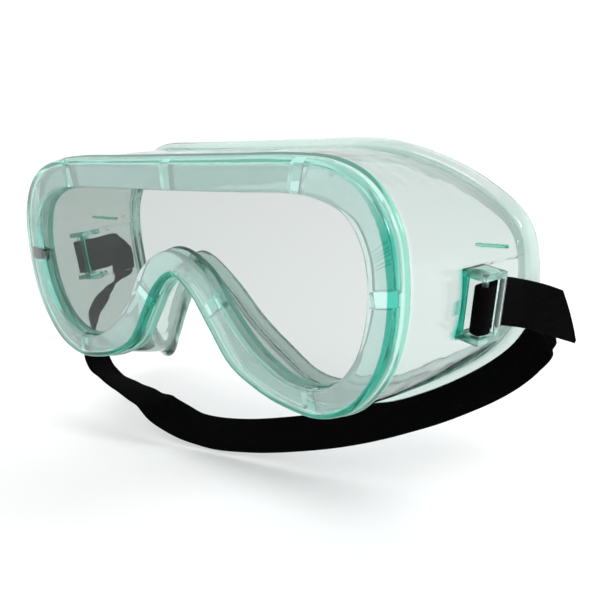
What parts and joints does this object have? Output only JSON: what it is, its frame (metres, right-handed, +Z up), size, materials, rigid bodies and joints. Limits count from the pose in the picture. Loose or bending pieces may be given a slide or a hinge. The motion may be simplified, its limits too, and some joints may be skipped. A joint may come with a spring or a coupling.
{
  "type": "safety goggles",
  "caption": "Soft clear splash goggles: flat lens in a channelled rim, walls with a face seal, temple lugs and an elastic headband that swings and adjusts.",
  "frame": {"origin": "between the temples, on the plane where the sides of the face seal end, at the height of the middle of the rim", "axes": "+Z up, -Y out through the lens, +X to the right of someone who faces the lens"},
  "size_m": [0.2043, 0.0693, 0.1113],
  "materials": {
    "tinted_vinyl": "clear soft vinyl, thick section that shows its green tint",
    "clear_vinyl": "clear soft vinyl wall, faint green tint, slightly satin",
    "polycarbonate": "clear polished sheet",
    "elastic": "black woven elastic",
    "thread": "black sewing thread"
  },
  "bodies": {
    "goggles": {"front_rim": "tinted_vinyl", "lens": "polycarbonate", "wall_brow": "clear_vinyl", "wall_temple_right": "clear_vinyl", "wall_temple_left": "clear_vinyl", "wall_cheek_right": "clear_vinyl", "wall_cheek_left": "clear_vinyl", "wall_nose_bridge": "clear_vinyl", "strap_lug_right": "tinted_vinyl", "strap_lug_left": "tinted_vinyl", "strap_fold_right": "elastic", "strap_fold_left": "elastic"},
    "headband": {"headband": "elastic", "strap_sewn_end": "elastic", "strap_tack": "thread"},
    "strap_tail": {"strap_tail": "elastic"}
  },
  "joints": [
    {"name": "headband_swing", "type": "hinge", "parent": "goggles", "child": "headband", "pos_m": [0, -0.01, -0.0093], "axis": [1, 0, 0], "range_deg": [-10, 85]},
    {"name": "strap_tail_slide", "type": "slide", "parent": "headband", "child": "strap_tail", "axis": [0.4198, 0.8696, -0.2599], "range_m": [0, 0.012]}
  ]
}
